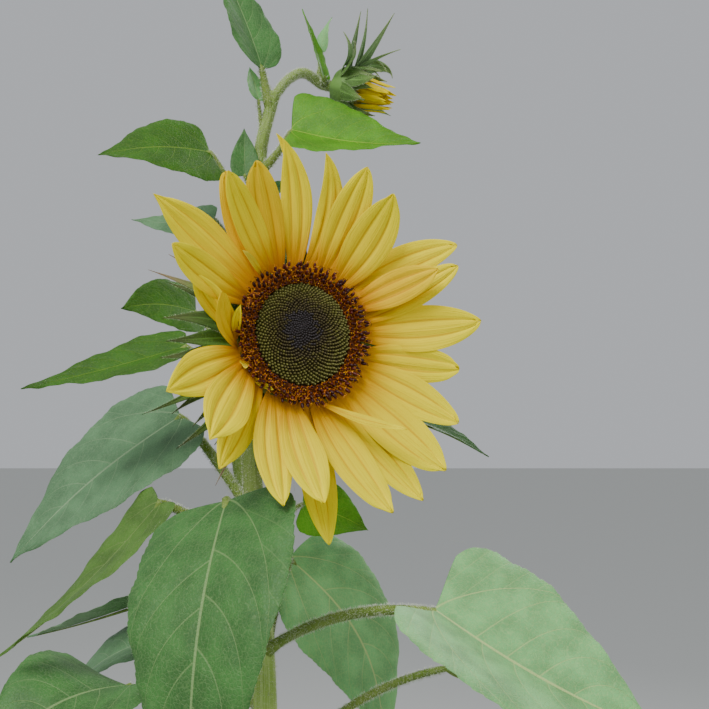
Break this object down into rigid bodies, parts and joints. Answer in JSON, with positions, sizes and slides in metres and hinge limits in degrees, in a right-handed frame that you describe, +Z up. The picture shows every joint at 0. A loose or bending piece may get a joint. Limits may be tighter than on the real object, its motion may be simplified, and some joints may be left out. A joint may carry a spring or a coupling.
{
  "type": "sunflower plant",
  "caption": "Rooted branching sunflower plant with an open yellow head, a half-open bud on a side branch and heart-shaped leaves on long petioles.",
  "frame": {"origin": "centre of the flat ground-level cut of the main stem", "axes": "+Z up along the plant, -Y the side the open head faces, +X to the right as the head is seen from the front"},
  "size_m": [0.5718, 0.5692, 1.75],
  "materials": {
    "stem": "ridged green stem with fine white hairs",
    "leaf": "matt green leaf with paler raised veins",
    "bract": "matt green, hairy",
    "ray": "satin yellow with lengthwise grooves",
    "anther": "matt brown",
    "disc": "matt olive green"
  },
  "bodies": {
    "root": {"main_stem": "stem", "side_branch": "stem", "bud_stalk": "stem", "leaf_front": "leaf", "leaf_behind_centre": "leaf", "leaf_right_front": "leaf", "leaf_right_low": "leaf", "leaf_left_narrow": "leaf", "leaf_left_broad": "leaf", "leaf_left_folded": "leaf", "leaf_left_low": "leaf", "leaf_left_thin": "leaf", "leaf_left_shaded": "leaf", "leaf_left_upper": "leaf", "leaf_right_upper": "leaf", "leaf_under_head": "leaf", "branch_leaf_left": "leaf", "branch_leaf_right": "leaf", "branch_leaf_top": "leaf", "branch_leaf_behind": "leaf", "branch_leaflet_high": "leaf", "branch_leaflet_left": "leaf", "branch_leaflet_right": "leaf", "stem_leaf_01": "leaf", "stem_leaf_02": "leaf", "stem_leaf_03": "leaf", "stem_leaf_04": "leaf", "stem_leaf_05": "leaf", "stem_leaf_06": "leaf", "stem_leaf_07": "leaf", "stem_leaf_08": "leaf", "stem_leaf_09": "leaf", "stem_leaf_10": "leaf", "stem_leaf_11": "leaf", "stem_leaf_12": "leaf", "stem_leaf_13": "leaf", "bud_leaf_long": "leaf", "bud_leaf_pale": "leaf", "head_back": "bract", "ray_florets": "ray", "anther_ring": "anther", "disc_florets": "disc", "bud_body": "bract", "bud_rays": "ray"}
  },
  "joints": []
}
